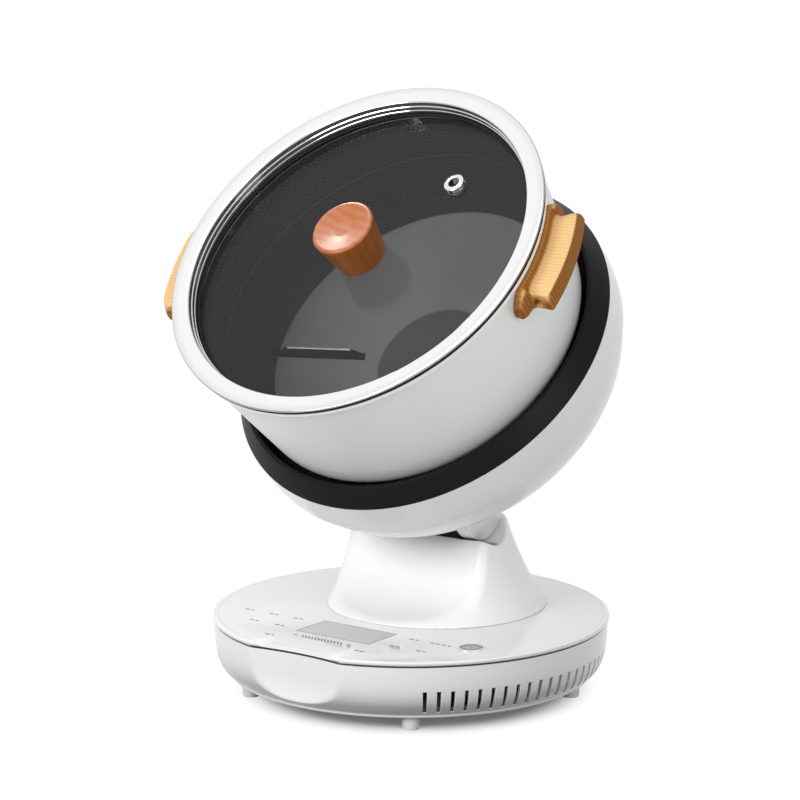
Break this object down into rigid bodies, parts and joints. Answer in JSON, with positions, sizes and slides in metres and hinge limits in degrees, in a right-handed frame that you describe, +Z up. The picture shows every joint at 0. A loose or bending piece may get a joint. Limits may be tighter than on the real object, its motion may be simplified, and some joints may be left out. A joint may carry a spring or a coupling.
{
  "type": "automatic stir fry machine",
  "caption": "Countertop stir fry machine: a lidded pot with wooden handles turns in a tilting induction bowl on a column over a round base with a control deck.",
  "frame": {"origin": "centre of the round base on the table plane, under the middle of the control deck", "axes": "+Z up from the table, -Y towards the user and the control panel, +X to the user's right"},
  "size_m": [0.3374, 0.3288, 0.4495],
  "materials": {
    "white_gloss": "smooth gloss white moulding",
    "white_matte": "fine satin white moulding",
    "white_casting": "white painted casting",
    "foot_rubber": "pale grey soft rubber",
    "screw_steel": "plain steel fasteners",
    "display_glass": "smoked clear window",
    "display_dark": "dark display module",
    "board_green": "green circuit board",
    "black_plastic": "black moulding",
    "button_steel": "grey key with a dished top",
    "ring_chrome": "polished bright ring",
    "sink_aluminium": "plain aluminium",
    "frame_steel": "plain steel",
    "bush_brass": "turned brass",
    "gear_nylon": "natural nylon",
    "friction_grey": "grey friction pad",
    "collar_black": "satin black moulding",
    "liner_dark": "dark heat-proof moulding",
    "coil_copper": "lacquered winding wire",
    "ferrite_grey": "dark ferrite",
    "pot_metal": "pale satin outside, dark speckled non-stick coat inside",
    "hub_aluminium": "turned aluminium",
    "handle_pine": "pale varnished pine, darker end grain",
    "lid_steel": "polished steel rim",
    "lid_smoke": "flat smoked tempered glass",
    "gasket_black": "black silicone",
    "knob_wood": "orange-brown varnished wood"
  },
  "bodies": {
    "base": {"bottom_plate": "white_matte", "rubber_feet": "foot_rubber", "foot_screws": "screw_steel", "base_shell": "white_gloss", "deck_cover": "white_gloss", "display_window": "display_glass", "display_module": "display_dark", "control_board": "board_green", "button_switch": "black_plastic", "button_bezel": "ring_chrome", "power_board": "board_green", "heat_sink": "sink_aluminium", "fan_frame": "black_plastic", "mains_inlet": "black_plastic", "column_frame": "frame_steel", "frame_screws": "screw_steel", "column_shell": "white_gloss", "hinge_bushes": "bush_brass", "friction_washers": "friction_grey"},
    "fan": {"fan_rotor": "black_plastic"},
    "button": {"power_button": "button_steel"},
    "head": {"tilt_shaft": "frame_steel", "hinge_yoke": "white_casting", "hinge_caps": "white_gloss", "bowl_shell": "white_gloss", "head_band": "white_gloss", "seat_collar": "collar_black", "well_liner": "liner_dark", "induction_coil": "coil_copper", "coil_carrier": "black_plastic", "ferrite_bars": "ferrite_grey", "heat_sensor": "frame_steel", "drive_plate": "sink_aluminium", "plate_screws": "screw_steel", "bearing_housing": "sink_aluminium", "drive_bearings": "frame_steel", "motor_bracket": "sink_aluminium", "bracket_screws": "screw_steel", "drive_motor": "frame_steel"},
    "pinion": {"motor_pinion": "bush_brass"},
    "drive": {"drive_shaft": "frame_steel", "driven_gear": "gear_nylon", "drive_coupling": "hub_aluminium"},
    "pot": {"pot_body": "pot_metal", "pot_hub": "hub_aluminium", "pot_handle_right": "handle_pine", "pot_handle_left": "handle_pine", "handle_screws": "screw_steel"},
    "lid": {"lid_rim": "lid_steel", "lid_glass": "lid_smoke", "lid_gasket": "gasket_black", "lid_knob": "knob_wood", "knob_screw": "screw_steel", "steam_vent": "ring_chrome"}
  },
  "joints": [
    {"name": "head_tilt", "type": "hinge", "parent": "base", "child": "head", "pos_m": [0, 0.025, 0.137], "axis": [1, 0, 0], "range_deg": [-30, 35]},
    {"name": "pot_turn", "type": "hinge", "parent": "head", "child": "drive", "pos_m": [0, -0.07046, 0.34418], "axis": [0, -0.7071, 0.7071], "continuous": true},
    {"name": "motor_turn", "type": "hinge", "parent": "head", "child": "pinion", "pos_m": [0, -0.04373, 0.37091], "axis": [0, -0.7071, 0.7071], "continuous": true},
    {"name": "pot_lift", "type": "slide", "parent": "drive", "child": "pot", "axis": [0, -0.7071, 0.7071], "range_m": [0, 0.12]},
    {"name": "lid_lift", "type": "slide", "parent": "pot", "child": "lid", "axis": [0, -0.7071, 0.7071], "range_m": [0, 0.06]},
    {"name": "fan_spin", "type": "hinge", "parent": "base", "child": "fan", "pos_m": [-0.088, 0.015, 0.021], "axis": [0, 0, 1], "continuous": true},
    {"name": "button_press", "type": "slide", "parent": "base", "child": "button", "axis": [0, 0, -1], "range_m": [0, 0.0015], "stiffness_N_per_m": 500, "springref_m": -0.001}
  ],
  "couplings": [
    {"joint": "motor_turn", "follows": "pot_turn", "ratio": -4}
  ]
}
